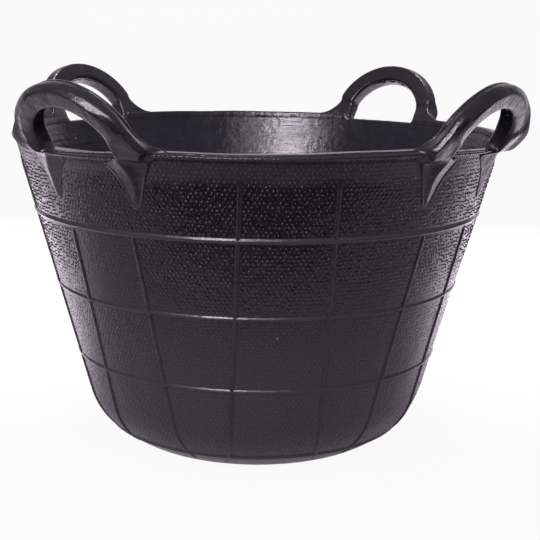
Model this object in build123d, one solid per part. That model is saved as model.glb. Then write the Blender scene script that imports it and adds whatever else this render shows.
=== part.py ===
from build123d import *

import os
from math import asin, atan2, cos, degrees, radians, sin, tan

# Black rubber bucket with four loop handles. Millimetres, +Z up, origin on the axis at the underside of the floor.

# Tub
BODY_HEIGHT = 300.0
WALL_TOP_RADIUS = 229.0
WALL_TAPER = radians(15.0)
WALL_THICKNESS = 6.0
HEEL_RADIUS = 76.0

# Rim bead, measured down from the lip and out from the wall
RIM_DEPTH = 8.0
LIP_HEIGHT = 1.7
LIP_WIDTH = 3.0
BEAD_REACH = 4.0
BEAD_CREST = 4.9
BEAD_UNDER_REACH = 2.4
BEAD_UNDER_SLOPE = 0.8

# Hoops and upright ribs on the outside
HOOP_HEIGHTS = {"upper": 227.4, "middle": 159.5, "lower": 91.8}
HEEL_HOOP_ANGLE = radians(45.5)
HOOP_WIDTH = 5.0
HOOP_RISE = 1.6
RIB_WIDTH = 5.0
RIB_RISE = 1.8
RIB_ROUND = 0.8
RIB_TOP_BELOW_RIM = 12.0
RIB_FOOT_ANGLE = radians(72.0)
HANDLE_RIB_OFFSET = 35.5
BETWEEN_RIB_OFFSET = 39.0

# Handles: the direction that each faces and how far its loop has leaned out of the upright
HANDLES = {"front": (-90.0, 33.0), "right": (0.0, 30.0), "back": (90.0, 25.0), "left": (180.0, 29.0)}
HANDLE_RADIUS = 229.0
LOOP_HALF_WIDTH = 52.0
LOOP_HEIGHT = 48.3
LOOP_SIDE_RADIUS = 45.0
NECK_HEIGHT = 16.0
FOOT_LEVEL = 297.0
DIP_WIDTH = 81.0
DIP_DEPTH = 5.5

# Leg sections: places across the leg of the finger hole's side, the edge inside the bucket, the bulge beyond it
# and the ridge on the outer face. Grip and neck count from the loop's centreline, the foot from the handle's middle
GRIP_PLACES = (-9.6, 6.6, 12.5, 4.0)
NECK_PLACES = (-9.7, 7.0, 17.0, -0.5)
FOOT_PLACES = (40.5, 74.5, 77.0, 50.0)
GRIP_DEPTH = 17.8
BULGE_OUT = 2.0
LEG_ROUNDS = (4.0, 1.6, 4.0, 2.0, 5.0)


def wall_radius(height):
    """Outer radius of the tapered wall at a height."""
    return WALL_TOP_RADIUS - tan(WALL_TAPER) * (BODY_HEIGHT - height)


FLOOR_RADIUS = wall_radius(HEEL_RADIUS) - HEEL_RADIUS / cos(WALL_TAPER)


def heel_point(angle, offset=0.0):
    """Point on the heel's round, at an angle below the horizontal and an offset out of its surface."""
    reach = HEEL_RADIUS + offset
    return (FLOOR_RADIUS + reach * cos(angle), HEEL_RADIUS - reach * sin(angle))


def wall_point(height, offset=0.0, along=0.0):
    """Point near the wall's outer surface, offset out of it and shifted up along it."""
    radius = wall_radius(height) + offset * cos(WALL_TAPER) + along * sin(WALL_TAPER)
    return (radius, height - offset * sin(WALL_TAPER) + along * cos(WALL_TAPER))


def heel_arc(start, end, offset=0.0):
    """Arc of the heel's section between two angles."""
    middle = heel_point((start + end) / 2, offset)
    return ThreePointArc(heel_point(start, offset), middle, heel_point(end, offset))


def turned(*edges):
    """Solid of revolution about the bucket's axis from a closed section of radius and height."""
    return revolve(Plane.XZ * make_face(edges), Axis.Z)


def closed(points):
    """Straight edges through the points, in order."""
    return [Line(a, b) for a, b in zip(points, points[1:])]


# Rim section, from the wall's outer edge round the bead and lip to the wall's inner edge
RIM_BASE = BODY_HEIGHT - RIM_DEPTH
RIM_OUT = wall_point(RIM_BASE)
RIM_IN = wall_point(RIM_BASE, -WALL_THICKNESS)
LIP_FOOT = BODY_HEIGHT - LIP_HEIGHT
LIP_IN = (RIM_IN[0] + tan(WALL_TAPER) * (LIP_FOOT - RIM_IN[1]), LIP_FOOT)
LIP_TOP_IN = (LIP_IN[0] + LIP_HEIGHT, BODY_HEIGHT)
LIP_TOP_OUT = (LIP_TOP_IN[0] + LIP_WIDTH, BODY_HEIGHT)
LIP_OUT = (LIP_TOP_OUT[0] + LIP_HEIGHT / 2, LIP_FOOT)
BEAD_OUT = (WALL_TOP_RADIUS + BEAD_REACH, BODY_HEIGHT - BEAD_CREST)
BEAD_UNDER = (RIM_OUT[0] + BEAD_UNDER_REACH, RIM_BASE + BEAD_UNDER_SLOPE)


def rim_outside():
    """Edges of the rim's outer section, from the wall up to the top of the lip."""
    return [
        Line(RIM_OUT, BEAD_UNDER),
        ThreePointArc(BEAD_UNDER, BEAD_OUT, LIP_OUT),
        Line(LIP_OUT, LIP_TOP_OUT),
    ]


def rim_bead():
    """Beaded rim, let down under each finger hole."""
    inside = closed([LIP_TOP_OUT, LIP_TOP_IN, LIP_IN, RIM_IN, RIM_OUT])
    ring = turned(*rim_outside(), *inside)
    for facing, _ in HANDLES.values():
        dip = Pos(HANDLE_RADIUS, 0, BODY_HEIGHT) * Box(HANDLE_RADIUS / 2, DIP_WIDTH, 2 * DIP_DEPTH)
        ring -= Rot(0, 0, facing) * dip
    return ring


def floor():
    return turned(*closed([(0, 0), (FLOOR_RADIUS, 0), (FLOOR_RADIUS, WALL_THICKNESS), (0, WALL_THICKNESS), (0, 0)]))


def heel():
    down = radians(90)
    return turned(
        heel_arc(WALL_TAPER, down),
        Line(heel_point(down), heel_point(down, -WALL_THICKNESS)),
        heel_arc(down, WALL_TAPER, -WALL_THICKNESS),
        Line(heel_point(WALL_TAPER, -WALL_THICKNESS), heel_point(WALL_TAPER)),
    )


def wall():
    foot_out = heel_point(WALL_TAPER)
    foot_in = heel_point(WALL_TAPER, -WALL_THICKNESS)
    return turned(*closed([foot_out, RIM_OUT, RIM_IN, foot_in, foot_out]))


def tub_outside():
    """Everything within the outer surface of the tub, to trim what is moulded onto it."""
    down = radians(90)
    return turned(
        Line((0, 0), heel_point(down)),
        heel_arc(down, WALL_TAPER),
        Line(heel_point(WALL_TAPER), RIM_OUT),
        *rim_outside(),
        *closed([LIP_TOP_OUT, (0, BODY_HEIGHT), (0, 0)]),
    )


def wall_hoop(height):
    half = HOOP_WIDTH / 2
    low, high = wall_point(height, along=-half), wall_point(height, along=half)
    return turned(ThreePointArc(low, wall_point(height, HOOP_RISE), high), Line(high, low))


def heel_hoop():
    half = HOOP_WIDTH / 2 / HEEL_RADIUS
    above, below = HEEL_HOOP_ANGLE - half, HEEL_HOOP_ANGLE + half
    crest = heel_point(HEEL_HOOP_ANGLE, HOOP_RISE)
    return turned(ThreePointArc(heel_point(above), crest, heel_point(below)), heel_arc(below, above))


def rib_jacket(top):
    """Sleeve as thick as the ribs, over the wall from a height down and round the heel."""
    return turned(
        Line(wall_point(top), wall_point(top, RIB_RISE)),
        Line(wall_point(top, RIB_RISE), heel_point(WALL_TAPER, RIB_RISE)),
        heel_arc(WALL_TAPER, RIB_FOOT_ANGLE, RIB_RISE),
        Line(heel_point(RIB_FOOT_ANGLE, RIB_RISE), heel_point(RIB_FOOT_ANGLE)),
        heel_arc(RIB_FOOT_ANGLE, WALL_TAPER),
        Line(heel_point(WALL_TAPER), wall_point(top)),
    )


def stands_out(edge):
    """Whether an edge runs along the crown of the ribs, clear of the wall and of the heel."""
    middle = edge @ 0.5
    radius = (middle.X**2 + middle.Y**2) ** 0.5
    on_heel = middle.Z < heel_point(WALL_TAPER)[1]
    heel_reach = ((radius - FLOOR_RADIUS) ** 2 + (middle.Z - HEEL_RADIUS) ** 2) ** 0.5
    rise = heel_reach - HEEL_RADIUS if on_heel else (radius - wall_radius(middle.Z)) * cos(WALL_TAPER)
    return edge.length > RIB_WIDTH * 2 and rise > RIB_RISE / 2


def rib(top, offset, hoops):
    """Round-edged upright rib beside the plane that faces +X, from a height down round the heel, let over the hoops."""
    reach = WALL_TOP_RADIUS + BEAD_REACH
    slab = Pos(reach / 2 + HEEL_RADIUS / 2, offset, BODY_HEIGHT / 2) * Box(reach, RIB_WIDTH, BODY_HEIGHT)
    bar = rib_jacket(top) & slab
    return fillet(bar.edges().filter_by(stands_out), RIB_ROUND) - hoops


def rounded(corners, rounds):
    """Face with a rounded corner at each point."""
    face = make_face(Polyline(*corners, close=True))
    for corner, radius in zip(corners, rounds):
        face = fillet(face.vertices().sort_by_distance(corner)[0], radius)
    return face


def leg_section(hole, inside, bulge, ridge, depth=GRIP_DEPTH):
    """Section of a handle's leg: across it away from the finger hole, and out of the bucket."""
    half = depth / 2
    return rounded([(hole, -half), (inside, -half), (bulge, BULGE_OUT), (ridge, half), (hole, half)], LEG_ROUNDS)


# Loop centreline: a side arc, a flatter top arc and a side arc, all tangent
SIDE_CENTRE = LOOP_HALF_WIDTH - LOOP_SIDE_RADIUS
TOP_RADIUS = (SIDE_CENTRE**2 + LOOP_HEIGHT**2 - LOOP_SIDE_RADIUS**2) / 2 / (LOOP_HEIGHT - LOOP_SIDE_RADIUS)
TOP_CENTRE = LOOP_HEIGHT - TOP_RADIUS
SIDE_END = degrees(atan2(-TOP_CENTRE, SIDE_CENTRE))
NECK_END = degrees(asin(NECK_HEIGHT / LOOP_SIDE_RADIUS))


def loop_plane(lean):
    """Plane of a loop that faces +X: X along the rim, Y up the lean, Z out of the bucket, origin on the rim's level."""
    tilt = radians(lean)
    return Plane(origin=(HANDLE_RADIUS, 0, BODY_HEIGHT), x_dir=(0, 1, 0), z_dir=(cos(tilt), 0, -sin(tilt)))


def section_plane(centre, angle):
    """Plane across the loop at an angle about a centre in the loop's plane."""
    turn = radians(angle)
    return Plane(origin=(*centre, 0), x_dir=(cos(turn), sin(turn), 0), z_dir=(sin(turn), -cos(turn), 0))


def loop_arc(centre, radius, start, sweep):
    """Stretch of the loop turned about a centre in the loop's plane."""
    section = section_plane(centre, start) * Pos(radius, 0) * leg_section(*GRIP_PLACES)
    return revolve(section, Axis((*centre, 0), (0, 0, 1)), sweep)


def grip():
    side = loop_arc((SIDE_CENTRE, 0), LOOP_SIDE_RADIUS, NECK_END, SIDE_END - NECK_END)
    top = loop_arc((0, TOP_CENTRE), TOP_RADIUS, SIDE_END, 180 - 2 * SIDE_END)
    return top + side + mirror(side, Plane.YZ)


# Where the middle of a neck stands up the side arc, and the radii between which its foot stands on the rim
NECK_MIDDLE = 7.0
FOOT_INNER_RADIUS = 223.5
FOOT_OUTER_RADIUS = 240.0

# Tongue sections below the rim: height, near edge, ridge and far edge from the handle's middle, then how far
# the ridge and the far edge stand out of the wall
TONGUE_SECTIONS = [
    (286.0, 21.0, 43.5, 66.0, 6.4, 2.6),
    (270.0, 35.5, 49.5, 59.5, 3.4, 1.2),
    (258.0, 41.0, 50.0, 55.0, 1.9, 0.9),
    (251.0, 45.5, 49.0, 52.0, 0.9, 0.6),
]
TONGUE_ROOT = 3.0
TONGUE_ROUND = 0.25
RIDGE_ROUNDING = 0.4


def foot_section():
    """Foot of a leg on the rim's level, which its neck and its tongue share."""
    hole, _, bulge, _ = FOOT_PLACES
    middle = (hole + bulge) / 2
    turn = middle / HANDLE_RADIUS
    radius = (FOOT_INNER_RADIUS + FOOT_OUTER_RADIUS) / 2
    places = [place - middle for place in FOOT_PLACES]
    plane = Plane(
        origin=(radius * cos(turn), radius * sin(turn), FOOT_LEVEL),
        x_dir=(-sin(turn), cos(turn), 0),
        z_dir=(0, 0, -1),
    )
    return plane * leg_section(*places, FOOT_OUTER_RADIUS - FOOT_INNER_RADIUS)


def tongue_section(height, near, ridge, far, ridge_rise, far_rise):
    """Ridged section on a level plane, rooted in the wall, with its corners in the order of a leg's section."""
    outline = [(near, -TONGUE_ROOT), (far, -TONGUE_ROOT), (far, far_rise), (ridge, ridge_rise), (near, 0)]

    def corner(along, rise):
        turn = along / HANDLE_RADIUS
        radius = wall_radius(height) + rise
        return Vector(radius * cos(turn), radius * sin(turn), height)

    rounds = [TONGUE_ROUND, TONGUE_ROUND, TONGUE_ROUND, RIDGE_ROUNDING * ridge_rise, TONGUE_ROUND]
    return rounded([corner(*point) for point in outline], rounds)


def neck(lean, trim):
    """Root of one leg, flaring from the loop's section down to the rim, on the leg that lies counterclockwise."""
    place = loop_plane(lean)
    centre = (SIDE_CENTRE, 0)
    middle = section_plane(centre, NECK_MIDDLE) * Pos(LOOP_SIDE_RADIUS, 0)
    top = section_plane(centre, NECK_END) * Pos(LOOP_SIDE_RADIUS, 0)
    sections = [
        foot_section(),
        place * middle * leg_section(*NECK_PLACES),
        place * top * leg_section(*GRIP_PLACES),
    ]
    return loft(sections) - trim


def tongue(trim):
    """Tapering ridged tongue under one leg, on the leg that lies counterclockwise."""
    return loft([foot_section(), *[tongue_section(*section) for section in TONGUE_SECTIONS]]) - trim


def build():
    hoops = {f"hoop_{name}": wall_hoop(height) for name, height in HOOP_HEIGHTS.items()}
    hoops["hoop_heel"] = heel_hoop()
    nodes = {"floor": floor(), "heel": heel(), "wall": wall(), "rim_bead": rim_bead(), **hoops}

    def pair(name, turn, solid):
        """A piece and its mirror image on either side of the plane that faces the given way."""
        nodes[f"{name}_right"] = Rot(0, 0, turn) * solid
        nodes[f"{name}_left"] = Rot(0, 0, turn) * mirror(solid, Plane.XZ)

    every_hoop = list(hoops.values())
    handle_rib = rib(HOOP_HEIGHTS["upper"], HANDLE_RIB_OFFSET, every_hoop)
    between_rib = rib(BODY_HEIGHT - RIB_TOP_BELOW_RIM, BETWEEN_RIB_OFFSET, every_hoop)
    trim = tub_outside()
    loop = grip()
    leg_tongue = tongue(trim)
    names = list(HANDLES)
    for name, following in zip(names, names[1:] + names[:1]):
        facing, lean = HANDLES[name]
        nodes[f"{name}_grip"] = Rot(0, 0, facing) * (loop_plane(lean) * loop)
        pair(f"{name}_neck", facing, neck(lean, trim))
        pair(f"{name}_tongue", facing, leg_tongue)
        pair(f"{name}_rib", facing, handle_rib)
        pair(f"{name}_{following}_rib", facing + 45, between_rib)
    return nodes


os.makedirs("parts", exist_ok=True)
for node_name, solid in build().items():
    export_step(solid, f"parts/{node_name}.step")
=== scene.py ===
"""Looks of a black rubber bucket with four loop handles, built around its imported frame."""

from math import atan2, cos, pi, radians, sin, tan
from typing import NamedTuple

import bmesh
import bpy
import numpy as np
from mathutils import Matrix, Vector


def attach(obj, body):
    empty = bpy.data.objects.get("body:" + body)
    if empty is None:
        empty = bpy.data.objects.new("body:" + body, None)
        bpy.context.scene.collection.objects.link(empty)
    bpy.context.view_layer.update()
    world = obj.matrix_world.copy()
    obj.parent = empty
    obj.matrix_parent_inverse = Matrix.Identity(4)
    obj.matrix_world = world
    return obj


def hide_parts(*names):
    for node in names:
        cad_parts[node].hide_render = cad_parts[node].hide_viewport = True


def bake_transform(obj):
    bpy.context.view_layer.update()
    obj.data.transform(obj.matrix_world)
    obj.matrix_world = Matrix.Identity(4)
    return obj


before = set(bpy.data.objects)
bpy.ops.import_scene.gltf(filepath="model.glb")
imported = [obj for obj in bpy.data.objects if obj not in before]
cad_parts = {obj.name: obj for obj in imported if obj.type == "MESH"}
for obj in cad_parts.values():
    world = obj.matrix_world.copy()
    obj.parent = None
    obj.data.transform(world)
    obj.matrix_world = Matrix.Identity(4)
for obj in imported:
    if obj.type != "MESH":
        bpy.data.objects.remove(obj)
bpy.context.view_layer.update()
rng = np.random.default_rng(11)

# Tub, in millimetres as in the part
MM = 0.001
RIM_LEVEL = 300.0
RIM_RADIUS = 229.0
RIM_BASE = 292.0
TAPER = radians(15.0)
THICKNESS = 6.0
HEEL_RADIUS = 76.0
FLOOR_RADIUS = RIM_RADIUS - tan(TAPER) * (RIM_LEVEL - HEEL_RADIUS) - HEEL_RADIUS / cos(TAPER)

# Runs are distances down the outside of the tub from the rim's level
WALL_RUN = (RIM_LEVEL - HEEL_RADIUS * (1 - sin(TAPER))) / cos(TAPER)
HEEL_RUN = HEEL_RADIUS * (pi / 2 - TAPER)
BASE_RUN = WALL_RUN + HEEL_RUN + FLOOR_RADIUS

# Angle from which an edge is sharp, and width of the map for one turn round the tub
SHARP = radians(70)
MAP_WIDTH = 0.99


class Leg(NamedTuple):
    """Leg of a soft loop: its swelling, None if it is slim, and the push at each section of its neck."""

    bulge: float | None
    push: tuple = (0.0, 0.0, 0.0, 0.0)


class Handle(NamedTuple):
    """The way a handle faces, its lean, turn about the bucket and sway along the rim, and its two legs."""

    facing: float
    lean: float
    turn: float
    sway: float
    leg: Leg
    other: Leg


# Each soft loop has taken its own set; the leg that lies counterclockwise comes first
SLIM = Leg(None)
HANDLES = {
    "front": Handle(radians(-90), radians(33), 0.0, 2.3, SLIM, Leg(0.6, (2.0, 3.6, 5.2, 4.4))),
    "right": Handle(radians(0), radians(30), 0.0, 0.0, Leg(1.7, (2.0, 2.5, 2.0, 1.0)), SLIM),
    "back": Handle(radians(90), radians(25), radians(0.9), 0.0, Leg(0.0), Leg(0.0)),
    "left": Handle(radians(180), radians(29), 0.0, 0.0, Leg(0.2), Leg(0.2)),
}


def ramp(value, low, high):
    """Smooth step from 0 at the low value to 1 at the high one."""
    share = np.clip((value - low) / (high - low), 0, 1)
    return share * share * (3 - 2 * share)


def between(value, start, full, fading, end):
    """Smooth rise from 0 at the start to 1, kept until it fades to 0 at the end."""
    return ramp(value, start, full) * (1 - ramp(value, fading, end))


def wall_run(height):
    """Run down to a height on the wall."""
    return (RIM_LEVEL - height) / cos(TAPER)


def heel_run(degrees):
    """Run down to where the heel has turned to a tilt."""
    return WALL_RUN + HEEL_RADIUS * (radians(degrees) - TAPER)


def wall_radius(height):
    """Radius of the wall's outside at a height."""
    return RIM_RADIUS - tan(TAPER) * (RIM_LEVEL - height)


def outline(run):
    """Radius, height and downward tilt of the tub's outer surface at distances down from the rim."""
    run = np.asarray(run, float)
    tilt = np.clip(TAPER + (run - WALL_RUN) / HEEL_RADIUS, TAPER, pi / 2)
    on_wall = np.minimum(run, WALL_RUN)
    on_floor = np.maximum(run - WALL_RUN - HEEL_RUN, 0)
    below = run > WALL_RUN
    heel_radius = FLOOR_RADIUS + HEEL_RADIUS * np.cos(tilt) - on_floor
    radius = np.where(below, heel_radius, RIM_RADIUS - sin(TAPER) * on_wall)
    height = np.where(below, HEEL_RADIUS * (1 - np.sin(tilt)), RIM_LEVEL - cos(TAPER) * on_wall)
    return radius, height, tilt


def skin(azimuth, run, rise):
    """Points on the tub's outer surface, raised out of it."""
    radius, height, tilt = outline(run)
    reach = radius + rise * np.cos(tilt)
    level = height - rise * np.sin(tilt)
    return np.stack(np.broadcast_arrays(reach * np.cos(azimuth), reach * np.sin(azimuth), level), -1)


def swell(azimuth, run, amplitude, turns=9, length=150.0, count=7, seed=3):
    """Slow unevenness of moulded rubber, the same wherever two pieces meet."""
    dice = np.random.default_rng(seed)
    total = 0.0
    for _ in range(count):
        waves = dice.integers(1, turns)
        drift = dice.uniform(-2 * pi, 2 * pi) / length
        total = total + np.cos(waves * azimuth + drift * run + dice.uniform(0, 2 * pi))
    return amplitude * total / count**0.5


def wander(count, step, dice):
    """Uneven values between -1 and 1 along a line, smooth over the given number of points."""
    knots = dice.uniform(-1, 1, count // step + 3)
    return np.interp(np.arange(count) / step, np.arange(len(knots)), knots)


def finish_piece(name, vertices, faces, materials, gloss_and_painted_highlight, slots=None):
    """Closed mesh from points in millimetres; the share of gloss and painted highlight is kept with each
    point.
    """
    mesh = bpy.data.meshes.new(name)
    mesh.from_pydata((vertices * MM).tolist(), [], faces)
    for material in materials:
        mesh.materials.append(material)
    if slots is not None:
        mesh.polygons.foreach_set("material_index", slots.astype(np.int32))
    work = bmesh.new()
    work.from_mesh(mesh)
    bmesh.ops.recalc_face_normals(work, faces=work.faces)
    work.to_mesh(mesh)
    work.free()
    attribute = mesh.attributes.new("gloss_and_painted_highlight", "FLOAT", "POINT")
    attribute.data.foreach_set("value", np.asarray(gloss_and_painted_highlight, np.float32).ravel())
    mesh.shade_smooth()
    mesh.set_sharp_from_angle(angle=SHARP)
    piece = bpy.data.objects.new(name, mesh)
    bpy.context.scene.collection.objects.link(piece)
    return piece


def lay_map(piece, around, down):
    """UV map for baking from each point's share of the way round and down a ring."""
    mesh = piece.data
    corners = np.zeros(len(mesh.loops), int)
    mesh.loops.foreach_get("vertex_index", corners)
    sizes = np.zeros(len(mesh.polygons), int)
    mesh.polygons.foreach_get("loop_total", sizes)
    face = np.repeat(np.arange(len(sizes)), sizes)
    turn = around[corners]
    highest = np.zeros(len(sizes))
    np.maximum.at(highest, face, turn)
    turn = np.where(highest[face] - turn > 0.5, turn + 1, turn)
    layer = mesh.uv_layers.new(name="OFBake")
    places = np.stack([turn * MAP_WIDTH, down[corners]], -1)
    layer.data.foreach_set("uv", places.astype(np.float32).ravel())


def grid_faces(rows, columns, ring):
    """Quads over a grid whose columns run all the way round, and whose rows close up too or end in caps."""
    row = np.arange(rows if ring else rows - 1)[:, None]
    column = np.arange(columns)[None, :]
    below = (row + 1) % rows * columns
    beside = (column + 1) % columns
    row = row * columns
    faces = np.stack([row + column, row + beside, below + beside, below + column], -1).reshape(-1, 4).tolist()
    if not ring:
        faces.append(list(range(columns))[::-1])
        faces.append(list(range((rows - 1) * columns, rows * columns)))
    return faces


def grid_piece(name, points, materials, ring=True, gloss_and_painted_highlight=0.0, slots=None):
    """Closed mesh over a grid of points."""
    rows, columns = points.shape[:2]
    faces = grid_faces(rows, columns, ring)
    values = np.broadcast_to(gloss_and_painted_highlight, (rows, columns))
    return finish_piece(name, points.reshape(-1, 3), faces, materials, values, slots)


# Colours of the rubber: bare, bloomed, in the band under the rim, painted highlight and reflection, paler
# foot, and its dust
INK = (0.0034, 0.0033, 0.0052, 1)
BLOOM = (0.0075, 0.007, 0.011, 1)
BROWN = (0.0255, 0.0215, 0.0235, 1)
PAINTED_HIGHLIGHT = (0.075, 0.07, 0.075, 1)
PALER_FOOT = (0.022, 0.017, 0.0255, 1)
DUST = (0.62, 0.6, 0.6, 1)
MOULDED_INK = (0.009, 0.008, 0.009, 1)
MOULDED_BLOOM = (0.022, 0.0195, 0.0205, 1)
INSIDE_BLOOM = (0.0152, 0.0165, 0.0245, 1)
GLOSS_TINT = (1.0, 0.93, 1.0, 1)

# Heights in metres over which the paler foot and the brown band set in, and how ragged the band's edge is
FOOT_FADE = (0.21, 0.09)
BAND_FADE = (0.271, 0.279)
BAND_RAGGED = 0.012

# How much painted highlight glossy places take and how much they lose in roughness, and how much rougher the
# dust is
PAINTED_HIGHLIGHT_SHARE = 0.7
GLOSS_SMOOTH = 0.1
DUST_ROUGH = 0.4

# Heights of fine grain, coarser waves and the streaks on the inside, and how those streaks are stretched
GRAIN_HEIGHT = 0.4
WAVE_HEIGHT = 2.4
STREAK_HEIGHT = 2.5
STREAK = (9.0, 9.0, 240.0)


class Shader:
    """One material of the bucket or its stage, with short ways to add and join its nodes."""

    def __init__(self, name):
        self.material = bpy.data.materials.new(name)
        self.material.use_nodes = True
        self.tree = self.material.node_tree
        self.surface = self.tree.nodes["Principled BSDF"]
        self.place = self.tree.nodes.new("ShaderNodeTexCoord").outputs["Object"]

    def add(self, kind, inputs, output=0, **settings):
        node = self.tree.nodes.new("ShaderNode" + kind)
        for key, value in settings.items():
            setattr(node, key, value)
        for key, value in inputs.items():
            self.put(node.inputs[key], value)
        return node.outputs[output]

    def put(self, socket, value):
        if isinstance(value, bpy.types.NodeSocket):
            self.tree.links.new(value, socket)
        else:
            socket.default_value = value

    def noise(self, scale, detail=4.0, roughness=0.55, stretch=None):
        place = self.place
        if stretch:
            place = self.add("Mapping", {"Vector": place, "Scale": stretch})
        inputs = {"Vector": place, "Scale": scale, "Detail": detail, "Roughness": roughness}
        return self.add("TexNoise", inputs)

    def level(self, value, low, high, start=0.0, end=1.0):
        return self.add("MapRange", {"Value": value, 1: low, 2: high, 3: start, 4: end})

    def math(self, kind, first, second):
        return self.add("Math", {0: first, 1: second}, operation=kind)

    def mix(self, share, first, second):
        return self.add("Mix", {0: share, 6: first, 7: second}, 2, data_type="RGBA")

    def specks(self, scale, size, chance):
        """Scattered flecks, one in some cells of a jumbled lattice."""
        near = self.add("TexVoronoi", {"Vector": self.place, "Scale": scale})
        cell = self.add("TexVoronoi", {"Vector": self.place, "Scale": scale}, "Color")
        chosen = self.math("LESS_THAN", self.add("SeparateColor", {0: cell}), chance)
        return self.math("MULTIPLY", self.math("LESS_THAN", near, size), chosen)


def rubber(name, dark, pale, rough, grain, dust, relief, streak=None, band=None, foot=None):
    """Black rubber with mottled bloom, uneven sheen, fine grain, flecks of white dust and a painted
    highlight.
    """
    shader = Shader(name)
    bloom = shader.noise(14.0, detail=5.0, roughness=0.6)
    grime = shader.noise(95.0, detail=3.0)
    gloss_and_highlight = shader.add("Attribute", {}, "Fac", attribute_name="gloss_and_painted_highlight")
    flecks = shader.specks(70.0, size=0.055, chance=dust)

    # Colour, paler towards the foot and brown under the rim where these are given
    patches = shader.level(bloom, 0.3, 0.75, end=0.7)
    clouds = shader.math("ADD", patches, shader.level(grime, 0.45, 0.8, end=0.5))
    colour = shader.mix(clouds, dark, pale)
    height = shader.add("SeparateXYZ", {0: shader.place}, "Z")
    if foot:
        colour = shader.mix(shader.level(height, *FOOT_FADE), colour, foot)
    if band:
        edge = shader.math("ADD", height, shader.level(bloom, 0.0, 1.0, -BAND_RAGGED, BAND_RAGGED))
        colour = shader.mix(shader.level(edge, *BAND_FADE), colour, band)
    # Painted highlight on crests, dot tops and lips, and painted reflection of the floor on the foot: paler
    # where the points carry it
    colour = shader.mix(shader.math("MULTIPLY", gloss_and_highlight, PAINTED_HIGHLIGHT_SHARE), colour, PAINTED_HIGHLIGHT)
    colour = shader.mix(flecks, colour, DUST)
    shader.put(shader.surface.inputs["Base Color"], colour)

    # Sheen, uneven, glossier where the points carry gloss
    dull = shader.level(shader.noise(32.0), 0.3, 0.7, rough - 0.05, rough + 0.07)
    dull = shader.math("SUBTRACT", dull, shader.math("MULTIPLY", gloss_and_highlight, GLOSS_SMOOTH))
    dull = shader.math("ADD", dull, shader.math("MULTIPLY", flecks, DUST_ROUGH))
    shader.put(shader.surface.inputs["Roughness"], dull)
    shader.surface.inputs["Specular Tint"].default_value = GLOSS_TINT

    # Relief, weaker where the points carry gloss
    fine = shader.math("MULTIPLY", shader.noise(grain, detail=3.0), GRAIN_HEIGHT)
    waves = shader.math("MULTIPLY", shader.noise(grain / 6, detail=2.0), WAVE_HEIGHT)
    fine = shader.math("ADD", fine, waves)
    if streak:
        streaks = shader.noise(1.0, roughness=0.6, stretch=streak)
        fine = shader.math("ADD", fine, shader.math("MULTIPLY", streaks, STREAK_HEIGHT))
    strength = shader.level(gloss_and_highlight, 0.0, 0.4, 0.5, 0.08)
    bump = shader.add("Bump", {"Height": fine, "Strength": strength, "Distance": relief})
    shader.put(shader.surface.inputs["Normal"], bump)
    return shader.material


outside = rubber(
    "stippled_outside", INK, BLOOM, rough=0.25, grain=900.0, dust=0.05, relief=0.0003, band=BROWN, foot=PALER_FOOT
)
moulded = rubber(
    "moulded_rubber", MOULDED_INK, MOULDED_BLOOM, rough=0.26, grain=750.0, dust=0.05, relief=0.0007
)
inside = rubber(
    "smooth_inside", INK, INSIDE_BLOOM, rough=0.19, grain=800.0, dust=0.08, relief=0.0004, streak=STREAK
)

# Hoops round the outside: run down to their middle, width and rise
HOOPS = {
    "hoop_upper": (wall_run(227.4), 6.4, 1.8),
    "hoop_middle": (wall_run(159.5), 4.8, 1.45),
    "hoop_lower": (wall_run(91.8), 4.8, 1.45),
    "hoop_heel": (heel_run(45.5), 4.8, 1.4),
}
HOOP_CREST = 0.3
HOOP_SUNK = 0.25
HOOP_ROOT = 0.4
# Gloss of the hoop's crest, which also paints a highlight on it
HOOP_GLOSS_AND_HIGHLIGHT = 0.35
HOOP_COLUMNS = 1440
HOOP_POINTS = 17
ROOT = -2.0

# Ribs: the way their pair faces, distance from the pair's middle, and run down to their top
HANDLE_RIB_ASIDE = 35.5
BETWEEN_RIB_ASIDE = 39.0
BETWEEN_RIB_TOP = wall_run(279.0)
RIBS = {}
names = list(HANDLES)
for name, following in zip(names, names[1:] + names[:1]):
    for side, sign in (("left", -1), ("right", 1)):
        facing = HANDLES[name].facing
        RIBS[f"{name}_rib_{side}"] = (facing, sign * HANDLE_RIB_ASIDE, HOOPS["hoop_upper"][0])
        RIBS[f"{name}_{following}_rib_{side}"] = (facing + pi / 4, sign * BETWEEN_RIB_ASIDE, BETWEEN_RIB_TOP)
RIB_FOOT = heel_run(72.0)
RIB_HALF = 2.4
RIB_RISE = 1.35
RIB_ROOT = 0.7
RIB_ROWS = 170
RIB_POINTS = 13

# How a rib's ends grow out of the wall and fade, how deep its ends and edges are sunk, and how uneven it is
RIB_LEAD = 3.0
RIB_GROWN = 10.0
RIB_FADING = 40.0
RIB_FADED = 6.0
RIB_SUNK_ENDS = 0.35
RIB_SUNK_EDGES = 0.3
RIB_WAVES = 0.08
RIB_SWAY = 0.15

# Tongues that carry the handles down the wall: height, then the distances of near edge, ridge and far edge
# from the handle's middle, then how far ridge and far edge stand out of the wall
TONGUE = [
    (287.0, 20.5, 42.0, 66.0, 7.0, 3.4),
    (282.0, 26.0, 45.6, 64.0, 5.7, 2.4),
    (277.0, 31.0, 48.4, 61.6, 4.6, 1.8),
    (270.0, 36.0, 50.0, 59.0, 3.4, 1.5),
    (262.0, 39.5, 50.3, 56.4, 2.4, 1.3),
    (256.0, 41.9, 49.9, 54.2, 1.8, 1.2),
    (252.0, 44.1, 49.2, 52.8, 1.3, 1.1),
]
TONGUE_TIP = 249.0
TONGUE_END = (TONGUE_TIP, 47.4, 48.6, 49.8, -0.4, -0.5)

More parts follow.
